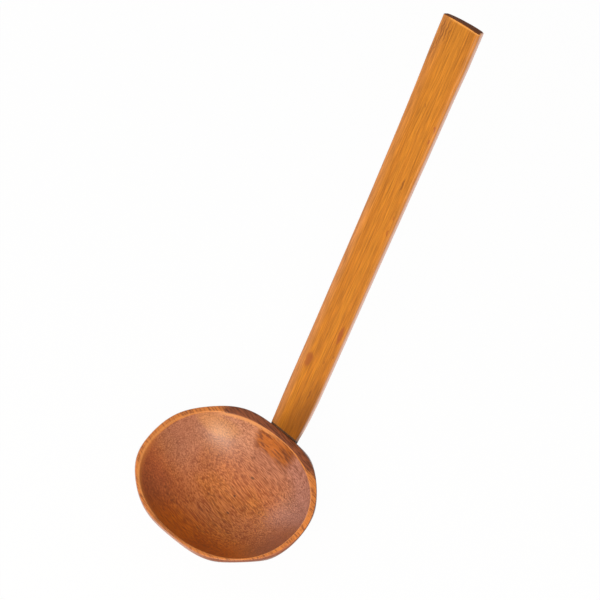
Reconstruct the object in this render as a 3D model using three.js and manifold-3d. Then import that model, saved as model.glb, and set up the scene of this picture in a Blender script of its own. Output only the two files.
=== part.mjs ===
// A carved wooden soup spoon, in millimetres, +Z up. An oval bowl stands on its flat foot, and a flat bar
// handle leans back out of its thick heel, towards +X. The handle ends in a tenon that is glued into a
// slanting mortise in the heel. The origin is on the foot, straight below the middle of the opening.
import * as THREE from "three";
import { mergeVertices } from "three/addons/utils/BufferGeometryUtils.js";
import Module from "manifold-3d";

// The opening at the rim, and the dish below it
const OPENING_LENGTH = 66.4;
const OPENING_WIDTH = 80;
const OPENING_SQUARENESS = 2.19;
const DISH_DEPTH = 21;
const DISH_ROUNDNESS = 1.15;
const FLOOR_THICKNESS = 8;

// The walls that are left at the rim behind each of the eight flats pared round the outside
const FRONT_WALL = 1.65;
const FRONT_CORNER_WALL = 1.4;
const SIDE_WALL = 3.65;
const HEEL_CORNER_WALL = 3.0;
const HEEL_WALL = 3.9;

// How far each flat leans in towards the foot, in degrees from upright. The heel first leans out to a knee.
const FRONT_LEAN = 33;
const FRONT_CORNER_LEAN = 38;
const SIDE_LEAN = 34;
const HEEL_CORNER_LEAN = 5;
const HEEL_LEAN = 20;
const HEEL_UNDERCUT = 4;

// Edges: a higher sharpness leaves a crisper corner between two flats
const RIM_SHARPNESS = 12;
const FOOT_SHARPNESS = 24;
const RIM_EDGE = 0.5;
const RIM_BAND = 2;
const FOOT_EDGE = 1.2;
const HEEL_LIP = 1.5;

// The handle, a flat bar that is cut in a shallow bow at its free end. Its width is given at heights along
// it: it is drawn in just above its seat, and widens a little towards the free end.
const HANDLE_LENGTH = 209.5;
const HANDLE_RISE = 59.8;
const HANDLE_WIDTHS = [[-5, 14.8], [1.5, 15], [13, 16.2], [25, 16.7], [125, 17.1], [178, 18]];
const HANDLE_END_WIDTH = 18.8;
const HANDLE_THICKNESS = 4.5;
const HANDLE_EDGE_RADIUS = 1.2;
const HANDLE_END_EDGE = 0.4;
const HANDLE_END_BOW = 0.6;
const HANDLE_SETBACK = 0.2;

// The joint: a flat tenon, the glue round it, and the gap kept between glue and wood
const TENON_LENGTH = 15;
const TENON_WIDTH = 10.4;
const TENON_THICKNESS = 2.2;
const TENON_EDGE_RADIUS = 0.8;
const GLUE_THICKNESS = 0.3;
const FIT_GAP = 0.2;

// How finely round shapes are divided
const BOWL_SIDES = 64;
const DISH_RINGS = 11;
const CORNER_STEPS = 6;

const radians = THREE.MathUtils.degToRad;
const wasm = await Module();
wasm.setup();

// A closed solid from a stack of rings with equally many points, closed by a fan at each end.
function loft(rings) {
  const sides = rings[0].length;
  const points = rings.flat();
  const centreOf = (ring) => ring.reduce((sum, p) => sum.add(p), new THREE.Vector3()).divideScalar(sides);
  const first = points.push(centreOf(rings[0])) - 1;
  const last = points.push(centreOf(rings.at(-1))) - 1;
  const faces = [];
  for (let side = 0; side < sides; side++) {
    const next = (side + 1) % sides;
    for (let row = 0; row < (rings.length - 1) * sides; row += sides) {
      faces.push(row + side, row + next, row + sides + next);
      faces.push(row + side, row + sides + next, row + sides + side);
    }
    const top = (rings.length - 1) * sides;
    faces.push(first, next, side, last, top + side, top + next);
  }
  return new THREE.BufferGeometry().setFromPoints(points).setIndex(faces);
}

// A geometry, moved by a matrix, as a solid that can be cut and joined.
function solid(geometry, matrix = new THREE.Matrix4()) {
  const bare = geometry.clone().deleteAttribute("normal").deleteAttribute("uv").applyMatrix4(matrix);
  const merged = mergeVertices(bare);
  const vertProperties = new Float32Array(merged.attributes.position.array);
  const triVerts = new Uint32Array(merged.index.array);
  return new wasm.Manifold(new wasm.Mesh({ numProp: 3, vertProperties, triVerts }));
}

// A solid as a geometry again.
function geometryOf(made) {
  const { vertProperties, triVerts } = made.getMesh();
  const geometry = new THREE.BufferGeometry();
  geometry.setAttribute("position", new THREE.BufferAttribute(vertProperties, 3));
  return geometry.setIndex(new THREE.BufferAttribute(triVerts, 1));
}

// Bowl
const rimHeight = DISH_DEPTH + FLOOR_THICKNESS;
const halfLength = OPENING_LENGTH / 2;
const halfWidth = OPENING_WIDTH / 2;
const heelEdge = halfLength + HEEL_WALL;

// The opening's outline: its radius in a direction, and how far out it reaches along one.
function openingRadius(angle) {
  const along = Math.abs(Math.cos(angle) / halfLength) ** OPENING_SQUARENESS;
  const across = Math.abs(Math.sin(angle) / halfWidth) ** OPENING_SQUARENESS;
  return (along + across) ** (-1 / OPENING_SQUARENESS);
}
function openingReach(angle) {
  const power = OPENING_SQUARENESS / (OPENING_SQUARENESS - 1);
  const along = Math.abs(Math.cos(angle) * halfLength) ** power;
  const across = Math.abs(Math.sin(angle) * halfWidth) ** power;
  return (along + across) ** (1 / power);
}

// The handle's seat on the leaning heel: the slant between the two, and the knee just below the seat.
const slant = radians(HANDLE_RISE - HEEL_LEAN);
const seatLength = HANDLE_THICKNESS / Math.cos(slant);
const kneeDepth = (HANDLE_SETBACK + seatLength + HEEL_LIP) * Math.cos(radians(HEEL_LEAN));

// How far a flat moves out or in at a depth below the rim.
const leaningIn = (lean) => (depth) => -Math.max(0, depth - RIM_BAND) * Math.tan(radians(lean));
function heelShift(depth) {
  const out = Math.min(depth, kneeDepth) * Math.tan(radians(HEEL_LEAN));
  return out - Math.max(0, depth - kneeDepth) * Math.tan(radians(HEEL_UNDERCUT));
}
const flats = [
  { faces: 0, wall: HEEL_WALL, shift: heelShift },
  { faces: 45, wall: HEEL_CORNER_WALL, shift: leaningIn(HEEL_CORNER_LEAN) },
  { faces: 90, wall: SIDE_WALL, shift: leaningIn(SIDE_LEAN) },
  { faces: 135, wall: FRONT_CORNER_WALL, shift: leaningIn(FRONT_CORNER_LEAN) },
  { faces: 180, wall: FRONT_WALL, shift: leaningIn(FRONT_LEAN) },
  { faces: 225, wall: FRONT_CORNER_WALL, shift: leaningIn(FRONT_CORNER_LEAN) },
  { faces: 270, wall: SIDE_WALL, shift: leaningIn(SIDE_LEAN) },
  { faces: 315, wall: HEEL_CORNER_WALL, shift: leaningIn(HEEL_CORNER_LEAN) },
];

// The outside's radius in a direction: the nearest flat, softened where two flats meet.
function outsideRadius(angle, depth, inset) {
  const sharpness = THREE.MathUtils.mapLinear(depth, 0, rimHeight, RIM_SHARPNESS, FOOT_SHARPNESS);
  let sum = 0;
  for (const { faces, wall, shift } of flats) {
    const towards = Math.cos(angle - radians(faces));
    if (towards <= 0) continue;
    const distance = openingReach(radians(faces)) + wall + shift(depth) - inset;
    sum += (towards / distance) ** sharpness;
  }
  return sum ** (-1 / sharpness);
}

// The dish is a cap of a sphere, stretched to the opening: its depth at a share of the way out to the rim.
function dishDepth(share) {
  const height = (distance) => Math.sqrt(DISH_ROUNDNESS ** 2 - distance ** 2);
  return (DISH_DEPTH * (height(share) - height(1))) / (height(0) - height(1));
}

function ring(depth, radius) {
  return Array.from({ length: BOWL_SIDES }, (_, side) => {
    const angle = (side / BOWL_SIDES) * 2 * Math.PI;
    const reach = radius(angle);
    return new THREE.Vector3(reach * Math.cos(angle), reach * Math.sin(angle), rimHeight - depth);
  });
}
const outsideRing = (depth, inset = 0) => ring(depth, (angle) => outsideRadius(angle, depth, inset));

function bowlBlank() {
  const edge = (share) => RIM_EDGE * (1 - Math.sqrt(1 - share ** 2));
  const rings = [
    outsideRing(rimHeight, FOOT_EDGE),
    outsideRing(rimHeight - FOOT_EDGE),
    outsideRing((rimHeight - FOOT_EDGE + kneeDepth) / 2),
    outsideRing(kneeDepth),
    outsideRing(kneeDepth / 2),
    outsideRing(RIM_BAND),
    outsideRing(RIM_EDGE),
    outsideRing(edge(0.7), edge(0.7)),
    outsideRing(0, RIM_EDGE),
    ring(0, (angle) => openingRadius(angle) + RIM_EDGE),
    ring(edge(0.7), (angle) => openingRadius(angle) + edge(0.7)),
  ];
  for (let step = DISH_RINGS; step > 0; step--) {
    const share = Math.sin(((step / DISH_RINGS) * Math.PI) / 2);
    const depth = RIM_EDGE + dishDepth(share) * (1 - RIM_EDGE / DISH_DEPTH);
    rings.push(ring(depth, (angle) => share * openingRadius(angle)));
  }
  return loft(rings);
}

// Handle, in its own frame: the axis is +Z, the back is +X, and the axis meets the heel's flat at 0
const seatMiddle = HANDLE_SETBACK + seatLength / 2;
const handleFrame = new THREE.Group();
handleFrame.position.set(
  heelEdge + seatMiddle * Math.sin(radians(HEEL_LEAN)),
  0,
  rimHeight - seatMiddle * Math.cos(radians(HEEL_LEAN)),
);
handleFrame.rotation.y = radians(90 - HANDLE_RISE);
handleFrame.updateMatrix();

// A rounded rectangle across the handle's axis, at a height along it that drops to both sides by a bow.
// A share below 1 draws it in towards the axis.
function section(width, thickness, radius, height, bow = 0, share = 1) {
  const points = [];
  const corners = [[1, 1], [-1, 1], [-1, -1], [1, -1]];
  corners.forEach(([back, side], corner) => {
    for (let step = 0; step <= CORNER_STEPS; step++) {
      const angle = ((corner + step / CORNER_STEPS) * Math.PI) / 2;
      const x = share * (back * (thickness / 2 - radius) + radius * Math.cos(angle));
      const y = share * (side * (width / 2 - radius) + radius * Math.sin(angle));
      points.push(new THREE.Vector3(x, y, height - bow * ((2 * y) / width) ** 2));
    }
  });
  return points;
}

// The bar, from below the heel's flat to its free end.
function bar() {
  const across = [HANDLE_THICKNESS, HANDLE_EDGE_RADIUS];
  const end = HANDLE_LENGTH - HANDLE_END_EDGE;
  const free = [
    HANDLE_END_WIDTH - 2 * HANDLE_END_EDGE,
    HANDLE_THICKNESS - 2 * HANDLE_END_EDGE,
    HANDLE_EDGE_RADIUS - HANDLE_END_EDGE,
    HANDLE_LENGTH,
    HANDLE_END_BOW,
  ];
  return loft([
    ...HANDLE_WIDTHS.map(([height, width]) => section(width, ...across, height)),
    section(HANDLE_END_WIDTH, ...across, end, HANDLE_END_BOW),
    section(...free),
    section(...free, 2 / 3),
    section(...free, 1 / 3),
  ]);
}

// The tenon grown by a margin all round and at its tip, and run up past the seat.
function tenon(margin) {
  const across = [TENON_WIDTH + 2 * margin, TENON_THICKNESS + 2 * margin, TENON_EDGE_RADIUS + margin];
  return loft([section(...across, -TENON_LENGTH - margin), section(...across, 2 * HANDLE_THICKNESS)]);
}

// All that lies between two distances from the heel's flat, wide enough to cover the seat.
function layer(from, to) {
  const cover = 4 * (HANDLE_END_WIDTH + TENON_LENGTH);
  const slab = new THREE.BoxGeometry(cover, cover, to - from).translate(0, 0, (from + to) / 2);
  return solid(slab, new THREE.Matrix4().makeRotationY(slant));
}

const seatGap = 2 * FIT_GAP + GLUE_THICKNESS;
const belowSeat = -2 * (HANDLE_THICKNESS + TENON_LENGTH);
const handleSolid = solid(bar()).subtract(layer(belowSeat, seatGap)).add(solid(tenon(0)));
const glueTop = FIT_GAP + GLUE_THICKNESS;
const glueSleeve = solid(tenon(glueTop)).intersect(layer(belowSeat, glueTop));
const gluePad = solid(bar()).intersect(layer(FIT_GAP, glueTop));
const glueSolid = glueSleeve.add(gluePad).subtract(solid(tenon(FIT_GAP)));
const bowlSolid = solid(bowlBlank()).subtract(solid(tenon(seatGap), handleFrame.matrix));

// The finished pieces
const finish = (color) => new THREE.MeshStandardMaterial({ color, roughness: 0.4, metalness: 0 });
function piece(name, made, material) {
  const mesh = new THREE.Mesh(geometryOf(made), material);
  mesh.name = name;
  return mesh;
}
const spoon = new THREE.Group();
spoon.add(piece("bowl", bowlSolid, finish("#a5602c")), handleFrame);
handleFrame.add(piece("handle", handleSolid, finish("#c98434")));
handleFrame.add(piece("glue_line", glueSolid, finish("#4a2c14")));

export default spoon;
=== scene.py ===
# A carved wooden soup spoon on a white table. An oval bowl stands on its foot, and a flat bar handle,
# glued to the bowl's heel, leans back from it. Lengths are in metres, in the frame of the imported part.
import math
from types import SimpleNamespace

import bmesh
import bpy
from mathutils import Matrix, Vector


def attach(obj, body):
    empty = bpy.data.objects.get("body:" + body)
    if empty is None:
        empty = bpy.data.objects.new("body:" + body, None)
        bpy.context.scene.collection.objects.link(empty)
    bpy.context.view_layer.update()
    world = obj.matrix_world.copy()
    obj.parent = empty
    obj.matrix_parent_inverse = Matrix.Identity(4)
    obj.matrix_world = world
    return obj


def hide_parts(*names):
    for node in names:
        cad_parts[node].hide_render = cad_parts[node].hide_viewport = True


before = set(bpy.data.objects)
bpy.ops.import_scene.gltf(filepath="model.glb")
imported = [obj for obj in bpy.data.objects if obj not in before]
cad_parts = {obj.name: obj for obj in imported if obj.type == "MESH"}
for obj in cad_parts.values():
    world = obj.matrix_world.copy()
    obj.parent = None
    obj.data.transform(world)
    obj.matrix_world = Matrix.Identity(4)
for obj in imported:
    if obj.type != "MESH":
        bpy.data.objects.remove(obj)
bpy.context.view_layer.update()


# The table, the light and the camera. The spoon was photographed on plain white in a dim white studio,
# with one lamp low on the camera's left, a soft one overhead and a white card beyond its left side.
TABLE_SIZE = 12.0
TABLE_WHITE = (0.9, 0.9, 0.9, 1)
TABLE_GLOW = 0.97
STUDIO_WHITE = (1, 1, 1, 1)
STUDIO_LIGHT = 0.38
CAMERA_PLACE = Vector((-0.2357, -0.2664, 0.6270))
CAMERA_TARGET = Vector((0.0698, 0.0195, 0.0784))
CAMERA_LENS = 93.17
CAMERA_SENSOR = 36
LAMP_AIM = Vector((0.02, 0, 0.04))
LAMPS = {
    "low_left_lamp": {"azimuth": -150, "elevation": 36, "away": 0.9, "size": 0.42, "watts": 7.0,
                      "colour": (1.0, 0.86, 0.68)},
    "top_lamp": {"azimuth": 160, "elevation": 70, "away": 1.1, "size": 0.9, "watts": 1.5,
                 "colour": (1.0, 1.0, 1.0)},
    "left_card": {"azimuth": 92, "elevation": 13, "away": 0.8, "size": 0.5, "watts": 1.8,
                  "colour": (1.0, 0.95, 0.95)},
}


class Tone:
    """A socket in a material's nodes, on which arithmetic adds Math nodes."""

    def __init__(self, tree, socket=None):
        self.tree = tree
        self.socket = socket

    def node(self, kind, settings, inputs, output=0):
        """Adds a node: first its settings, then the values or links of its sockets."""
        made = self.tree.nodes.new(kind)
        for name, value in settings.items():
            setattr(made, name, value)
        for name, value in inputs.items():
            if isinstance(value, Tone):
                value.feed(made.inputs[name])
            else:
                made.inputs[name].default_value = value
        return Tone(self.tree, made.outputs[output] if made.outputs else None)

    def feed(self, socket):
        self.tree.links.new(self.socket, socket)

    def maths(self, operation, *values):
        return self.node("ShaderNodeMath", {"operation": operation}, dict(enumerate(values)))

    def __add__(self, other):
        return self.maths("ADD", self, other)

    def __sub__(self, other):
        return self.maths("SUBTRACT", self, other)

    def __rsub__(self, other):
        return self.maths("SUBTRACT", other, self)

    def __mul__(self, other):
        return self.maths("MULTIPLY", self, other)

    __radd__ = __add__
    __rmul__ = __mul__


def seen_directly(tone):
    """1 for rays from the camera and for reflections, and 0 for light that falls on the spoon."""
    camera_ray = tone.node("ShaderNodeLightPath", {}, {}, "Is Camera Ray")
    glossy_ray = tone.node("ShaderNodeLightPath", {}, {}, "Is Glossy Ray")
    through_ray = tone.node("ShaderNodeLightPath", {}, {}, "Is Transmission Ray")
    return tone.maths("MINIMUM", camera_ray + glossy_ray + through_ray, 1.0)


bpy.ops.object.select_all(action="DESELECT")
bpy.ops.mesh.primitive_plane_add(size=TABLE_SIZE)
table = bpy.context.active_object
table.name = "table"
table_paint = bpy.data.materials.new("white_table")
table_paint.use_nodes = True
table_paint.node_tree.nodes.clear()
table_tone = Tone(table_paint.node_tree)
table_matt = table_tone.node("ShaderNodeBsdfDiffuse", {}, {"Color": TABLE_WHITE})
table_glow = table_tone.node("ShaderNodeEmission", {}, {"Strength": 1.0})
glow_share = seen_directly(table_tone) * TABLE_GLOW
table_look = table_tone.node("ShaderNodeMixShader", {}, {0: glow_share, 1: table_matt, 2: table_glow})
table_tone.node("ShaderNodeOutputMaterial", {}, {"Surface": table_look})
table.data.materials.append(table_paint)

studio = bpy.data.worlds.new("white_studio")
bpy.context.scene.world = studio
studio.use_nodes = True
studio.node_tree.nodes["Background"].inputs["Color"].default_value = STUDIO_WHITE
studio.node_tree.nodes["Background"].inputs["Strength"].default_value = STUDIO_LIGHT

for lamp_name, lamp in LAMPS.items():
    azimuth = math.radians(lamp["azimuth"])
    elevation = math.radians(lamp["elevation"])
    level = math.cos(elevation)
    towards = Vector((level * math.cos(azimuth), level * math.sin(azimuth), math.sin(elevation)))
    light = bpy.data.lights.new(lamp_name, "AREA")
    light.energy = lamp["watts"]
    light.size = lamp["size"]
    light.color = lamp["colour"]
    lamp_object = bpy.data.objects.new(lamp_name, light)
    lamp_object.location = LAMP_AIM + towards * lamp["away"]
    lamp_object.rotation_euler = towards.to_track_quat("Z", "Y").to_euler()
    bpy.context.scene.collection.objects.link(lamp_object)

camera_data = bpy.data.cameras.new("camera")
camera_data.lens = CAMERA_LENS
camera_data.sensor_width = CAMERA_SENSOR
camera = bpy.data.objects.new("camera", camera_data)
camera.location = CAMERA_PLACE
camera.rotation_euler = (CAMERA_TARGET - CAMERA_PLACE).to_track_quat("-Z", "Y").to_euler()
bpy.context.scene.collection.objects.link(camera)
bpy.context.scene.camera = camera
bpy.context.scene.view_settings.view_transform = "Standard"


# The bowl. It is carved from one block of reddish brown wood whose grain runs across the spoon: hollowed
# to an oval dish, pared to eight uneven flats outside, and lacquered. Its heel is left thick to take the
# handle.
OPENING_HALF_LENGTH = 0.0332
OPENING_HALF_WIDTH = 0.040
OPENING_SQUARENESS = 2.19
DISH_DEPTH = 0.021
DISH_ROUNDNESS = 1.15
DISH_RINGS = 26
RIM_HEIGHT = 0.029
RIM_EDGE = 0.0005
RIM_SHARPNESS = 9.23
FOOT_EDGE = 0.0012
FOOT_SHARPNESS = 17.3
CORNER_DEPTH = 0.0081
HEEL_LEAN = math.radians(20)
HEEL_UNDERCUT = math.radians(4)
HEEL_KNEE = 0.0071
HEEL_TOP_START = 0.0305
HEEL_TOP_TILT = math.radians(3)
HEEL_TOP_DEPTH = 0.004
BOWL_SIDES = 144
BOWL_START_RADIUS = 0.02
BOWL_CREASE = math.radians(50)
# Each flat: the way it faces in degrees, the wall that it leaves at the rim, the upright band below the
# rim, and its lean in degrees. The first is the heel's, which has a shape of its own.
BOWL_FLATS = [
    (0, 0.00390, 0, None),
    (47.4, 0.00331, 0.00118, 5),
    (95.5, 0.00342, 0.00176, 28.9),
    (144.1, 0.00241, 0.00120, 35.4),
    (182.1, 0.00161, 0.00200, 32.4),
    (224.9, 0.00126, 0.00162, 29.0),
    (273.7, 0.00341, 0.00076, 30.9),
    (316.2, 0.00345, 0.00052, 5),
]
# The depths below the rim of the rings on the outside, from the foot up, and the steps round an edge
OUTSIDE_DEPTHS = [0.0240, 0.0200, 0.0160, 0.0125, 0.0100, 0.0088, 0.0076, 0.0067, 0.0055, 0.0045,
                  0.0035, 0.0028, 0.0021, 0.0015, 0.0010]
EDGE_TURNS = [math.radians(turn) for turn in (0, 30, 60, 90)]


def opening_radius(angle):
    along = abs(math.cos(angle) / OPENING_HALF_LENGTH) ** OPENING_SQUARENESS
    across = abs(math.sin(angle) / OPENING_HALF_WIDTH) ** OPENING_SQUARENESS
    return (along + across) ** (-1 / OPENING_SQUARENESS)


def opening_reach(angle):
    """How far the opening goes in a direction: the distance of the line that touches it there."""
    power = OPENING_SQUARENESS / (OPENING_SQUARENESS - 1)
    along = abs(math.cos(angle) * OPENING_HALF_LENGTH) ** power
    across = abs(math.sin(angle) * OPENING_HALF_WIDTH) ** power
    return (along + across) ** (1 / power)


def flat_shift(band, lean, depth):
    """How far a flat has moved out at a depth below the rim. The heel leans out as far as its knee."""
    if lean is None:
        out = min(depth, HEEL_KNEE) * math.tan(HEEL_LEAN)
        return out - max(0, depth - HEEL_KNEE) * math.tan(HEEL_UNDERCUT)
    return -max(0, depth - band) * math.tan(math.radians(lean))


def outside_radius(angle, depth, inset):
    """The nearest flat in a direction, softened where two flats meet, most of all at the rim."""
    sharpness = RIM_SHARPNESS + (FOOT_SHARPNESS - RIM_SHARPNESS) * min(1, depth / CORNER_DEPTH)
    total = 0
    for faces, wall, band, lean in BOWL_FLATS:
        towards = math.cos(angle - math.radians(faces))
        if towards > 0:
            at_rim = opening_reach(math.radians(faces)) + wall
            distance = at_rim + flat_shift(band, lean, depth) - inset
            total += (towards / distance) ** sharpness
    return total ** (-1 / sharpness)


def dish_depth(share):
    """The dish is a stretched cap of a sphere: its depth at a share of the way out to the rim."""
    low, here, high = (math.sqrt(DISH_ROUNDNESS ** 2 - distance ** 2) for distance in (1, share, 0))
    return RIM_EDGE + (DISH_DEPTH - RIM_EDGE) * (here - low) / (high - low)


def lay_bowl_ring(depth, radius):
    """Moves the selected ring to a depth below the rim, and out to a radius in each direction."""
    mesh = bmesh.from_edit_mesh(bowl.data)
    tilt = math.tan(HEEL_TOP_TILT) * max(0, 1 - depth / HEEL_TOP_DEPTH)
    for vertex in mesh.verts:
        if vertex.select:
            angle = math.atan2(vertex.co.y, vertex.co.x)
            reach = radius(angle)
            x = reach * math.cos(angle)
            drop = depth + max(0, x - HEEL_TOP_START) * tilt
            vertex.co = Vector((x, reach * math.sin(angle), RIM_HEIGHT - drop))
    bmesh.update_edit_mesh(bowl.data)


def outside_ring(depth, inset=0.0):
    return depth, lambda angle: outside_radius(angle, depth, inset)


def inside_ring(depth, share, grown=0.0):
    return depth, lambda angle: share * opening_radius(angle) + grown


dish_shares = [math.sin(step / DISH_RINGS * math.pi / 2) for step in range(DISH_RINGS - 1, 0, -1)]
bowl_rings = [
    outside_ring(RIM_HEIGHT - FOOT_EDGE * (1 - math.cos(turn)), FOOT_EDGE * (1 - math.sin(turn)))
    for turn in EDGE_TURNS
]
bowl_rings += [outside_ring(depth) for depth in OUTSIDE_DEPTHS]
bowl_rings += [
    outside_ring(RIM_EDGE * (1 - math.sin(turn)), RIM_EDGE * (1 - math.cos(turn)))
    for turn in EDGE_TURNS
]
bowl_rings += [
    inside_ring(RIM_EDGE * (1 - math.sin(turn)), 1, RIM_EDGE * (1 - math.cos(turn)))
    for turn in reversed(EDGE_TURNS)
]
bowl_rings += [inside_ring(dish_depth(share), share) for share in dish_shares]

bpy.ops.object.select_all(action="DESELECT")
bpy.ops.mesh.primitive_circle_add(vertices=BOWL_SIDES, radius=BOWL_START_RADIUS, fill_type="TRIFAN")
bowl = bpy.context.active_object
bowl.name = "carved_bowl"
bpy.ops.object.mode_set(mode="EDIT")
bpy.ops.mesh.select_mode(type="EDGE")
bpy.ops.mesh.select_all(action="SELECT")
bpy.ops.mesh.region_to_loop()
lay_bowl_ring(*bowl_rings[0])
for depth, radius in bowl_rings[1:]:
    bpy.ops.mesh.extrude_region_move()
    lay_bowl_ring(depth, radius)
bpy.ops.mesh.extrude_region_move()
bpy.ops.mesh.merge(type="CENTER")
bpy.ops.transform.translate(value=(0, 0, dish_depth(dish_shares[-1]) - DISH_DEPTH))
bpy.ops.mesh.select_all(action="SELECT")
bpy.ops.mesh.normals_make_consistent(inside=False)
bpy.ops.object.mode_set(mode="OBJECT")
bpy.ops.object.shade_smooth_by_angle(angle=BOWL_CREASE)


def finish_material(name, wire):
    """A new material, whose shader the given function wires up."""
    material = bpy.data.materials.new(name)
    material.use_nodes = True
    wire(Tone(material.node_tree), material.node_tree.nodes["Principled BSDF"].inputs)
    return material


def mix(share, first, second):
    return share.node("ShaderNodeMix", {"data_type": "RGBA"}, {0: share, 6: first, 7: second}, 2)


def toned(share, tones):
    """Wood in its dark tone where the share is 0, and in its light one where it is 1."""
    light, dark = tones
    return mix(share, dark, light)


def tint(colour, share):
    """A colour made lighter or darker by a share."""
    return share.node("ShaderNodeVectorMath", {"operation": "SCALE"}, {0: colour, "Scale": share})


def rise(value, low, high):
    """0 on one side of two values and 1 on the other, with a smooth rise from the first to the second."""
    return value.node("ShaderNodeMapRange", {"interpolation_type": "SMOOTHSTEP"},
                      {"Value": value, "From Min": low, "From Max": high})


def between(value, start, full, fading, gone):
    """1 in a range of values, with a smooth rise before it and a smooth fall after it."""
    return rise(value, start, full) * (1 - rise(value, fading, gone))


def spot(first, second, middle, half, border):
    """1 inside an ellipse and 0 outside it, across a soft border given in squares of its half size."""
    off_first = (first - middle[0]) * (1 / half[0])
    off_second = (second - middle[1]) * (1 / half[1])
    return 1 - rise(off_first * off_first + off_second * off_second, *border)


def noise(place, scale, detail=2.0):
    return place.node("ShaderNodeTexNoise", {}, {"Vector": place, "Scale": scale, "Detail": detail})


def stretch(place, scale):
    return place.node("ShaderNodeMapping", {}, {"Vector": place, "Scale": scale})


def axes(place):
    return [place.node("ShaderNodeSeparateXYZ", {}, {0: place}, axis) for axis in range(3)]


def vector_maths(operation, first, inputs):
    return first.node("ShaderNodeVectorMath", {"operation": operation}, {0: first, **inputs})


def wander(place, scale, reach):
    """A place moved about by up to a reach, so that what is drawn there wavers."""
    spread = place.node("ShaderNodeTexNoise", {},
                        {"Vector": place, "Scale": scale, "Detail": 1.0}, "Color")
    centred = vector_maths("SUBTRACT", spread, {1: (0.5, 0.5, 0.5)})
    moved = vector_maths("SCALE", centred, {"Scale": 2 * reach})
    return vector_maths("ADD", place, {1: moved})


def lacquer(inputs, shine, coat):
    inputs["Specular IOR Level"].default_value = shine
    inputs["Coat Weight"].default_value = coat
    inputs["Coat Roughness"].default_value = 0.25


# The wood is drawn in millimetres, and in radians round from the heel. Its grain runs across the spoon,
# a little askew.
MILLIMETRES = 1000.0
GRAIN_TURN = math.radians(-9)
# Tones of the wood, each with the colour of its light fibres and of its dark ones. Some of them hold
# painted shade, sheen or highlight, as marked.
PLAIN_WOOD = (0.60, 0.205, 0.058, 1), (0.30, 0.066, 0.010, 1)
CLOUDED_WOOD = (0.66, 0.230, 0.042, 1), (0.33, 0.080, 0.005, 1)
# A rosy tone towards the heel: the wood's own tone with painted sheen in it
HEEL_ROSE_AND_SHEEN = (0.54, 0.228, 0.136, 1), (0.28, 0.100, 0.054, 1)
# Painted sheen along the left of the heel's inner wall
PAINTED_HEEL_SHEEN = (0.66, 0.300, 0.170, 1), (0.39, 0.155, 0.082, 1)
# Mauve tones of the end grain on the right and left walls, with painted sheen in them
MAUVE_AND_SHEEN_RIGHT = (0.54, 0.250, 0.185, 1), (0.27, 0.108, 0.074, 1)
MAUVE_AND_SHEEN_LEFT = (0.51, 0.222, 0.135, 1), (0.29, 0.102, 0.058, 1)
SATURATED_FRONT = (0.70, 0.182, 0.006, 1), (0.36, 0.064, 0.0015, 1)
# Painted shade: the left wall darker and redder, the near side dusky, the front deep and saturated
RED_SHADE_LEFT = (0.50, 0.138, 0.042, 1), (0.27, 0.061, 0.019, 1)
PAINTED_SHADE_NEAR = (0.45, 0.150, 0.068, 1), (0.23, 0.066, 0.028, 1)
DEEP_SHADE_FRONT = (0.50, 0.100, 0.003, 1), (0.25, 0.036, 0.001, 1)
SHADED_LEFT = (0.48, 0.160, 0.046, 1), (0.25, 0.058, 0.010, 1)
GOLDEN_SHINE = (0.64, 0.275, 0.100, 1), (0.42, 0.160, 0.050, 1)
ORANGE_PATCH = (0.50, 0.142, 0.013, 1), (0.20, 0.050, 0.008, 1)
OUTER_WALL = (0.30, 0.086, 0.026, 1), (0.17, 0.044, 0.013, 1)
RIM_TOP = (0.66, 0.215, 0.040, 1), (0.33, 0.095, 0.020, 1)
# Painted highlight along the rim's inner edge
RIM_EDGE_HIGHLIGHT = (0.71, 0.265, 0.064, 1), (0.57, 0.205, 0.048, 1)
HEEL_CRESCENT = (0.31, 0.085, 0.026, 1), (0.125, 0.032, 0.009, 1)
# Colours of what is small or plain
PORE_BROWN = (0.13, 0.036, 0.010, 1)
VESSEL_BROWN = (0.16, 0.045, 0.010, 1)
SPECK_BROWN = (0.10, 0.035, 0.012, 1)
# Painted sheen on the outer wall, below the rim at the front
PAINTED_WALL_SHEEN = (0.50, 0.27, 0.20, 1)
PARED_STRIP = (0.44, 0.150, 0.072, 1)
LEFT_GLOW = (0.64, 0.225, 0.058, 1)
HEEL_GLOW = (0.80, 0.36, 0.13, 1)
# Dark specks in the dish: their place and their half size
BOWL_SPECKS = [((16.9, -0.2), (0.6, 1.2)), ((6.1, 0.8), (0.6, 0.7)), ((-2.2, -3.0), (0.5, 1.0))]
SPECK_BORDER = 0.3, 1.2
# The lamp's shine on the left of the heel's inner wall, which slants along it, and the shade below it
SHINE_MIDDLE = 21.8, 26.0
SHINE_HALF = 4.0, 11.0
SHINE_SLANT = 0.4
SHADE_MIDDLE = 11.5, 20.5
SHADE_HALF = 8.5, 6.0
SHINE_BORDER = 0.2, 1.2


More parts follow.
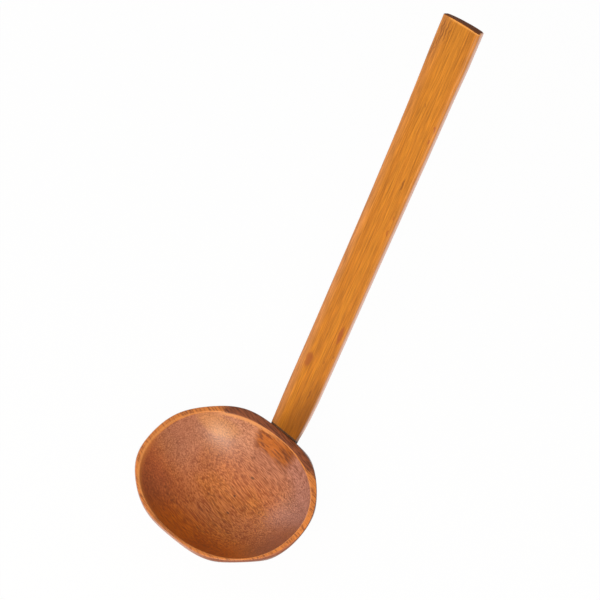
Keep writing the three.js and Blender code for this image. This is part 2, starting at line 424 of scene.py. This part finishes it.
def bowl_place(tone):
    """Where a point of the bowl is, which way it faces, and how its grain runs there."""
    at = SimpleNamespace()
    metres = tone.node("ShaderNodeTexCoord", {}, {}, "Object")
    place = vector_maths("SCALE", metres, {"Scale": MILLIMETRES})
    at.x, at.y, at.z = axes(place)
    at.aside = tone.maths("ABSOLUTE", at.y)
    at.around = tone.maths("ARCTAN2", at.y, at.x)
    radius = tone.maths("SQRT", at.x * at.x + at.y * at.y)
    along = tone.maths("ABSOLUTE", at.x * (1 / MILLIMETRES / OPENING_HALF_LENGTH))
    across = tone.maths("ABSOLUTE", at.y * (1 / MILLIMETRES / OPENING_HALF_WIDTH))
    powers = [tone.maths("POWER", part, OPENING_SQUARENESS) for part in (along, across)]
    share = tone.maths("POWER", powers[0] + powers[1], 1 / OPENING_SQUARENESS)
    at.offset = radius - tone.maths("DIVIDE", radius, share)

    facing = axes(tone.node("ShaderNodeTexCoord", {}, {}, "Normal"))
    outward = tone.maths("DIVIDE", facing[0] * at.x + facing[1] * at.y, radius) - facing[2]
    at.outside = rise(outward, -0.2, 0.2)

    at.grain = tone.node("ShaderNodeMapping", {"vector_type": "TEXTURE"},
                         {"Vector": place, "Rotation": (0, 0, GRAIN_TURN)})
    at.fibres = noise(stretch(wander(at.grain, 0.12, 0.25), (1, 0.08, 1)), 2.7, 2.0)
    at.streaks = noise(stretch(wander(at.grain, 0.06, 0.8), (1, 0.07, 1)), 0.6, 2.0)
    at.clouds = noise(stretch(at.grain, (1, 0.35, 1)), 0.09, 2.0)
    at.figure = (at.fibres - 0.5) * 4.8 + (at.streaks - 0.5) * 0.8 + 0.5
    at.ragged = axes(wander(place, 0.3, 1.0))
    at.ragged_around = tone.maths("ARCTAN2", at.ragged[1], at.ragged[0])
    return at


def dish_wood(at):
    """The hollowed wood: a tone for each part of the dish, with painted sheen, shade and highlight in
    some, and fibres, pores, vessels and specks.
    """
    cloudy = rise(at.clouds, 0.35, 0.65)
    light, dark = (mix(cloudy, *tones) for tones in zip(PLAIN_WOOD, CLOUDED_WOOD))
    x, y = at.x, at.y
    heel_half = rise(x, -14.0, 4.0)
    right_half = rise(x, -2.0, 12.0)
    right_wall = rise(at.ragged_around, -0.30, -0.50) * rise(at.z, 18.0, 24.0)
    slanted = x + (y - SHINE_MIDDLE[1]) * SHINE_SLANT
    zones = [
        # Rosy tone with painted sheen towards the heel
        (rise(x, 12.0, 26.0) * 0.85, HEEL_ROSE_AND_SHEEN),
        # Painted sheen along the left of the heel's inner wall
        (rise(x, 21.0, 26.0) * between(y, 3.0, 11.0, 19.0, 29.0), PAINTED_HEEL_SHEEN),
        # Mauve end-grain tones with painted sheen, on the right wall and on the left
        (right_half * rise(y, -14.0, -32.0) * 0.9, MAUVE_AND_SHEEN_RIGHT),
        (right_half * right_wall * 0.8, MAUVE_AND_SHEEN_RIGHT),
        (heel_half * rise(y, 13.0, 33.0) * 0.8, MAUVE_AND_SHEEN_LEFT),
        (rise(x, -6.0, -24.0), SATURATED_FRONT),
        # Painted shade on the left wall, the front and the near side
        (rise(y, 8.0, 28.0) * rise(x, -2.0, -14.0), RED_SHADE_LEFT),
        (rise(x, -14.0, -28.0) * rise(y, 2.0, -12.0) * 0.8, DEEP_SHADE_FRONT),
        (rise(y, -20.0, -34.0) * (1 - right_half) * rise(x, -24.0, -10.0), PAINTED_SHADE_NEAR),
        (spot(x, y, SHADE_MIDDLE, SHADE_HALF, SHINE_BORDER) * 0.7, SHADED_LEFT),
        (spot(slanted, y, SHINE_MIDDLE, SHINE_HALF, SHINE_BORDER), GOLDEN_SHINE),
    ]
    for there, (light_there, dark_there) in zones:
        light = mix(there, light, light_there)
        dark = mix(there, dark, dark_there)
    wood = mix(at.figure, dark, light)
    pores = noise(stretch(at.grain, (1, 0.16, 1)), 1.7, 1.0)
    wood = mix(rise(pores, 0.64, 0.72) * 0.55, wood, PORE_BROWN)
    vessels = noise(stretch(wander(at.grain, 0.05, 0.5), (1, 0.035, 1)), 2.3, 1.0)
    wood = mix(rise(vessels, 0.54, 0.66) * rise(at.clouds, 0.42, 0.58) * 0.6, wood, VESSEL_BROWN)
    for middle, half in BOWL_SPECKS:
        wood = mix(spot(x, y, middle, half, SPECK_BORDER) * 0.8, wood, SPECK_BROWN)
    return wood


def heel_patch(at, wood):
    """The orange patch with dark blotches, high on the heel's inner wall."""
    patch = between(at.ragged_around, -0.49, -0.30, 0.22, 0.38) * rise(at.ragged[2], 18.8, 22.0)
    blotches = rise(noise(stretch(at.grain, (1, 0.13, 1)), 1.0, 2.0), 0.42, 0.58)
    shade = 0.75 + at.fibres * 0.5 - rise(at.around, -0.08, -0.26) * 0.18
    return mix(patch * 0.85, wood, tint(mix(blotches, *ORANGE_PATCH), shade))


def outer_wall(at, wood):
    """The pared flats, darker than the dish, with painted sheen in a stretch below the rim at the front.
    """
    wall = tint(toned(at.figure, OUTER_WALL), 0.9 + at.clouds * 0.2)
    # Painted sheen below the rim at the front
    wall_sheen = rise(at.x, -12.0, -24.0) * rise(at.y, -24.0, -10.0) * rise(at.z, 21.0, 27.0)
    return mix(at.outside, wood, mix(wall_sheen * 0.8, wall, PAINTED_WALL_SHEEN))


def rim_top(at, wood):
    """The level top of the rim, ticked by the ends of fibres, lighter on the right and darker at the tip
    with painted light and shade, and the painted highlight along its inner edge.
    """
    ticks = rise(at.fibres + (at.streaks - 0.5) * 0.5, 0.36, 0.54)
    near_side = rise(at.y, -26.0, -34.0)
    far_side = between(at.around, 1.05, 1.45, 2.3, 2.7)
    tip = rise(at.x, 0.0, -20.0) * (1 - rise(at.aside, 6.0, 18.0))
    lit_right = between(at.around, -1.95, -1.70, -1.30, -1.10) * 0.12
    lit_right = lit_right + near_side * rise(at.offset, 1.4, 2.4) * 0.15
    # The rim made lighter on the right with painted light and darker at the tip with painted shade
    rim = tint(toned(ticks, RIM_TOP), 1.0 + lit_right - tip * 0.22)
    pared = rise(at.offset - (at.around + 1.55) * 2.6, 2.35, 2.65)
    rim = mix(pared * between(at.around, -2.35, -2.15, -1.50, -1.30), rim, PARED_STRIP)
    wood = mix(rise(at.z, 28.65, 28.95), wood, rim)

    # A painted highlight along the inner edge, brighter on the near side and at the lit front, faint at
    # the tip
    edge = rise(at.z, 28.35, 28.60) * (1 - rise(at.offset - far_side * 0.7, 0.25, 0.60))
    lit_front = between(at.around, -2.45, -2.25, -1.98, -1.85)
    edge_highlight = tint(toned(ticks, RIM_EDGE_HIGHLIGHT), 1.0 + near_side * 0.12 + lit_front * 0.25)
    return mix(edge * (1 - tip * 0.8), wood, edge_highlight)


def inner_glow(at, wood):
    """The light that the dish catches just below its rim, on the left and at the heel."""
    inside = 1 - at.outside
    left = between(at.around, 1.5, 1.9, 2.7, 3.0) * between(at.offset, -1.6, 0.0, 0.0, 0.5)
    wood = mix(left * inside * 0.65, wood, LEFT_GLOW)
    heel = rise(at.offset + (at.fibres - 0.5) * 1.2, -0.95, -0.40) * (1 - rise(at.offset, 0.0, 0.3))
    heel = heel * between(at.around, -0.25, 0.30, 0.75, 0.95)
    return mix(heel * inside * 0.8, wood, HEEL_GLOW)


def heel_crescent(at, wood):
    """The dark crescent on top of the thick heel, frayed at both of its ends."""
    frayed = (at.fibres - 0.5) * 0.2
    left_end = 1 - rise(at.around + frayed, 0.72, 0.84)
    right_end = 1 - rise(frayed - at.around - at.offset * 0.05, 0.54, 0.66)
    on_top = rise(at.offset + at.around * 0.3, 0.10, 0.40) * rise(at.z, 27.0, 28.0)
    return mix(left_end * right_end * on_top, wood, toned(rise(at.fibres, 0.35, 0.65), HEEL_CRESCENT))


def bowl_wood(tone, inputs):
    at = bowl_place(tone)
    wood = dish_wood(at)
    for paint in (heel_patch, outer_wall, rim_top, inner_glow, heel_crescent):
        wood = paint(at, wood)
    wood.feed(inputs["Base Color"])
    roughness = 0.42 + (at.fibres - 0.5) * 0.3
    roughness.feed(inputs["Roughness"])
    bump = tone.node("ShaderNodeBump", {}, {"Strength": 0.15, "Distance": 0.0002, "Height": at.fibres})
    bump.feed(inputs["Normal"])
    lacquer(inputs, shine=0.5, coat=0.10)


bowl.data.materials.append(finish_material("bowl_wood", bowl_wood))
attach(bowl, "root")
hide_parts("bowl")


# The handle. It is a thin, flat bar of golden brown, straight-grained wood with crisp edges, lacquered
# like the bowl. Its lower end is cut on the slant to sit on the heel, and its tenon, inside the heel,
# isn't seen.
HANDLE_LENGTH = 0.2088
HANDLE_RISE = math.radians(59.8)
HANDLE_THICKNESS = 0.0045
HANDLE_SQUARENESS = 8.0
HANDLE_SETBACK = 0.0002
HANDLE_END_BOW = 0.0004
HANDLE_END_EDGE = 0.0003
HANDLE_END_TWIST = 0.0004
HANDLE_END_SHARES = (1.0, 0.75, 0.5, 0.25)
HANDLE_SIDES = 64
HANDLE_CREASE = math.radians(40)
UNIT_RADIUS = 0.5
SEAT_GAP = 0.0005
# The bar as it was shaped by hand: the height along it, its width there, and its shift to +Y
HANDLE_STATIONS = [
    (-0.0060, 0.01495, -0.0001),
    (0.0015, 0.01515, -0.0002),
    (0.0065, 0.01575, -0.0005),
    (0.0135, 0.01635, -0.0007),
    (0.0235, 0.01675, -0.0009),
    (0.0580, 0.01665, -0.0011),
    (0.0980, 0.01665, -0.00115),
    (0.1230, 0.01675, -0.0012),
    (0.1480, 0.01705, -0.00115),
    (0.1630, 0.01725, -0.00105),
    (0.1780, 0.01755, -0.0009),
    (0.1930, 0.01825, -0.00075),
    (HANDLE_LENGTH - HANDLE_END_EDGE, 0.01825, -0.0005),
]

slant = HANDLE_RISE - HEEL_LEAN
seat_normal = Vector((math.sin(slant), 0, math.cos(slant)))
seat_middle = HANDLE_SETBACK + HANDLE_THICKNESS / math.cos(slant) / 2
heel_edge = OPENING_HALF_LENGTH + BOWL_FLATS[0][1]
handle_foot = Vector((heel_edge + seat_middle * math.sin(HEEL_LEAN), 0,
                      RIM_HEIGHT - seat_middle * math.cos(HEEL_LEAN)))
handle_turn = math.pi / 2 - HANDLE_RISE


def lay_handle_ring(piece, height, width, shift, bow=0.0, twist=0.0, inset=0.0, share=1.0):
    """Moves the selected ring to a height along the handle, as a flat outline with crisp corners."""
    mesh = bmesh.from_edit_mesh(piece.data)
    ring = [vertex for vertex in mesh.verts if vertex.select]
    middle = sum((vertex.co for vertex in ring), Vector()) / len(ring)
    for vertex in ring:
        angle = math.atan2(vertex.co.y - middle.y, vertex.co.x)
        deep = abs(math.cos(angle) / (HANDLE_THICKNESS / 2 - inset)) ** HANDLE_SQUARENESS
        wide = abs(math.sin(angle) / (width / 2 - inset)) ** HANDLE_SQUARENESS
        reach = share * (deep + wide) ** (-1 / HANDLE_SQUARENESS)
        x = reach * math.cos(angle)
        y = reach * math.sin(angle)
        behind = x / HANDLE_THICKNESS + 0.5
        drop = bow * (2 * y / width) ** 2 + twist * behind * 2 * y / width
        vertex.co = Vector((x, y + shift, height - drop))
    bmesh.update_edit_mesh(piece.data)


def start_bar(name, inset=0.0):
    """A new piece in edit mode, with its first ring laid across the handle's lower end."""
    bpy.ops.object.select_all(action="DESELECT")
    bpy.ops.mesh.primitive_circle_add(vertices=HANDLE_SIDES, radius=UNIT_RADIUS, fill_type="NGON")
    bar = bpy.context.active_object
    bar.name = name
    bpy.ops.object.mode_set(mode="EDIT")
    bpy.ops.transform.resize(value=(HANDLE_THICKNESS, HANDLE_STATIONS[0][1], 1))
    bpy.ops.mesh.select_mode(type="EDGE")
    bpy.ops.mesh.region_to_loop()
    lay_handle_ring(bar, *HANDLE_STATIONS[0], inset=inset)
    return bar


def cut_along_seat(distance, **cleared):
    """Cuts the selected mesh at a distance above the heel's face, and closes the cut."""
    bpy.ops.mesh.bisect(plane_co=seat_normal * distance, plane_no=seat_normal, use_fill=True, **cleared)


def stand_on_heel(bar):
    """Leaves edit mode and moves the finished mesh from the handle's own axes to its seat."""
    bpy.ops.object.mode_set(mode="OBJECT")
    bar.data.transform(Matrix.Translation(handle_foot) @ Matrix.Rotation(handle_turn, 4, "Y"))
    bpy.ops.object.shade_smooth_by_angle(angle=HANDLE_CREASE)


handle = start_bar("bar_handle")
for station in HANDLE_STATIONS[1:-1]:
    bpy.ops.mesh.extrude_region_move()
    lay_handle_ring(handle, *station)
bpy.ops.mesh.extrude_region_move()
lay_handle_ring(handle, *HANDLE_STATIONS[-1], HANDLE_END_BOW, HANDLE_END_TWIST)
for share in HANDLE_END_SHARES:
    bpy.ops.mesh.extrude_region_move()
    lay_handle_ring(handle, HANDLE_LENGTH, *HANDLE_STATIONS[-1][1:], HANDLE_END_BOW,
                    HANDLE_END_TWIST, HANDLE_END_EDGE, share)
bpy.ops.mesh.extrude_region_move()
bpy.ops.mesh.merge(type="CENTER")
bpy.ops.mesh.select_all(action="SELECT")
bpy.ops.mesh.normals_make_consistent(inside=False)
cut_along_seat(SEAT_GAP, clear_inner=True)
stand_on_heel(handle)


# Marks in the handle's face: their place along and across it, half their length and width, in
# millimetres, and their strength
HANDLE_KNOTS = [
    ((41.2, 2.3), (4.6, 1.7), 0.75),
    ((60.7, -7.2), (5.0, 1.3), 0.8),
    ((114.7, -8.1), (1.6, 0.5), 0.7),
    ((121.7, -8.2), (1.2, 0.5), 0.6),
    ((159.2, -8.5), (1.2, 0.4), 0.8),
    ((164.7, -8.65), (1.6, 0.4), 0.7),
]
HANDLE_DASHES = [
    ((26.2, -5.0), (3.0, 0.35), 0.7),
    ((136.7, -5.6), (3.4, 0.5), 0.7),
    ((44.7, -5.0), (1.2, 0.3), 0.4),
    ((49.7, -8.4), (1.2, 0.3), 0.4),
    ((171.7, -0.4), (1.0, 0.4), 0.4),
    ((202.2, 2.6), (4.5, 0.3), 0.6),
    ((202.7, 4.0), (5.0, 0.35), 0.65),
    ((201.2, 5.4), (5.0, 0.3), 0.6),
    ((203.7, 6.3), (4.0, 0.3), 0.6),
    ((196.5, 6.0), (5.0, 0.3), 0.5),
    ((193.0, 7.0), (5.0, 0.3), 0.45),
]
MARK_BORDER = 0.2, 1.3
KNOT_RED = (0.32, 0.078, 0.012, 1)
DASH_BROWN = (0.18, 0.055, 0.006, 1)
# The handle's colours: its own bands, the painted sheen on its left, its painted shaded base, the painted
# lit corner and sheen on its right, the end grain darkened with painted shade, and the painted lit edge
# of its end
BAND_BROWN = (0.46, 0.157, 0.008, 1)
BAND_GOLD = (0.52, 0.190, 0.010, 1)
LEFT_SHEEN = (0.51, 0.205, 0.060, 1)
SHADED_BASE = (0.32, 0.100, 0.003, 1), (0.10, 0.030, 0.001, 1)
LIT_CORNER = (0.66, 0.26, 0.06, 1)
SIDE_SHEEN = (0.79, 0.51, 0.43, 1)
END_GRAIN_AND_SHADE = (0.165, 0.048, 0.015, 1)
LIT_END_EDGE = (0.82, 0.38, 0.09, 1)


def handle_wood(tone, inputs):
    metres = tone.node("ShaderNodeTexCoord", {}, {}, "Object")
    turned = tone.node("ShaderNodeMapping", {"vector_type": "TEXTURE"},
                       {"Vector": metres, "Location": handle_foot, "Rotation": (0, handle_turn, 0)})
    place = vector_maths("SCALE", turned, {"Scale": MILLIMETRES})
    back, across, along = axes(place)
    to_right = across * -1.0
    front = 1 - rise(back, -1.0, 0.0)
    lines = noise(stretch(wander(place, 0.03, 0.5), (1, 1, 0.03)), 1.3, 2.0)
    threads = noise(stretch(place, (1, 1, 0.05)), 2.2, 2.0)
    bands = noise(stretch(wander(place, 0.02, 0.8), (1, 1, 0.03)), 0.30, 1.0)

    wood = mix(rise(bands, 0.30, 0.70), BAND_BROWN, BAND_GOLD)
    # Painted sheen on the left of the face, fading up the handle
    wood = mix(rise(across, 2.0, 6.5) * (1.0 - rise(along, 90.0, 190.0) * 0.6), wood, LEFT_SHEEN)
    upper_shade = rise(along, 160.0, 200.0) * 0.07
    wood = tint(wood, 1.0 - upper_shade + (lines - 0.5) * 0.7 + (threads - 0.5) * 1.1)
    ragged = axes(wander(place, 0.35, 0.9))
    for marks, colour in ((HANDLE_KNOTS, KNOT_RED), (HANDLE_DASHES, DASH_BROWN)):
        for middle, half, strength in marks:
            mark = spot(ragged[2], ragged[1], middle, half, MARK_BORDER)
            wood = mix(mark * front * strength, wood, colour)
    base = 1 - rise(along + across * 2.2, -4.0, 30.0)
    wood = mix(base * 0.82, wood, toned(threads, SHADED_BASE))

    # A painted lit corner and painted sheen on the right side
    wood = mix(rise(to_right, 8.7, 9.4) * (threads * 1.6 - 0.3), wood, LIT_CORNER)
    wood = mix(rise(to_right, 7.8, 8.6) * rise(back, -1.5, 0.5), wood, SIDE_SHEEN)
    # The end grain's own dark tone, darkened further with painted shade
    faces_up = axes(tone.node("ShaderNodeTexCoord", {}, {}, "Normal"))[2]
    end = rise(along, 207.0, 207.3) * rise(faces_up, 0.70, 0.80)
    wood = mix(end * 0.95, wood, END_GRAIN_AND_SHADE)
    lit_edge = rise(along, 207.5, 208.1) * (1 - rise(across, 4.0, 6.0)) * front * (1 - end)
    wood = mix(lit_edge * 0.6, wood, LIT_END_EDGE)
    wood.feed(inputs["Base Color"])

    roughness = (0.45 + (lines - 0.5) * 0.2) * (1 - end) + end
    roughness.feed(inputs["Roughness"])
    bump = tone.node("ShaderNodeBump", {}, {"Strength": 0.2, "Distance": 0.0003, "Height": lines})
    bump.feed(inputs["Normal"])
    lacquer(inputs, shine=0.35, coat=0.05)


handle.data.materials.append(finish_material("handle_wood", handle_wood))
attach(handle, "root")
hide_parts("handle")


# The glue line. It is dried brown wood glue that fills the joint between the handle's seat and the heel,
# and only its edge shows, as a dark line. The cup of glue round the tenon, inside the heel, isn't seen.
GLUE_SINK = 0.0003
GLUE_INSET = 0.00005
GLUE_CLOTS = 900.0
GLUE_TONES = (0.110, 0.045, 0.015, 1), (0.035, 0.014, 0.005, 1)

glue = start_bar("glue_pad", GLUE_INSET)
for station in HANDLE_STATIONS[1:3]:
    bpy.ops.mesh.extrude_region_move()
    lay_handle_ring(glue, *station, inset=GLUE_INSET)
bpy.ops.mesh.edge_face_add()
bpy.ops.mesh.select_all(action="SELECT")
bpy.ops.mesh.normals_make_consistent(inside=False)
cut_along_seat(SEAT_GAP, clear_outer=True)
bpy.ops.mesh.select_all(action="SELECT")
cut_along_seat(-GLUE_SINK, clear_inner=True)
stand_on_heel(glue)


def dried_glue(tone, inputs):
    clots = noise(tone.node("ShaderNodeTexCoord", {}, {}, "Object"), GLUE_CLOTS, 3.0)
    toned(clots, GLUE_TONES).feed(inputs["Base Color"])
    roughness = 0.45 + clots * 0.3
    roughness.feed(inputs["Roughness"])


glue.data.materials.append(finish_material("dried_glue", dried_glue))
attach(glue, "root")
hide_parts("glue_line")
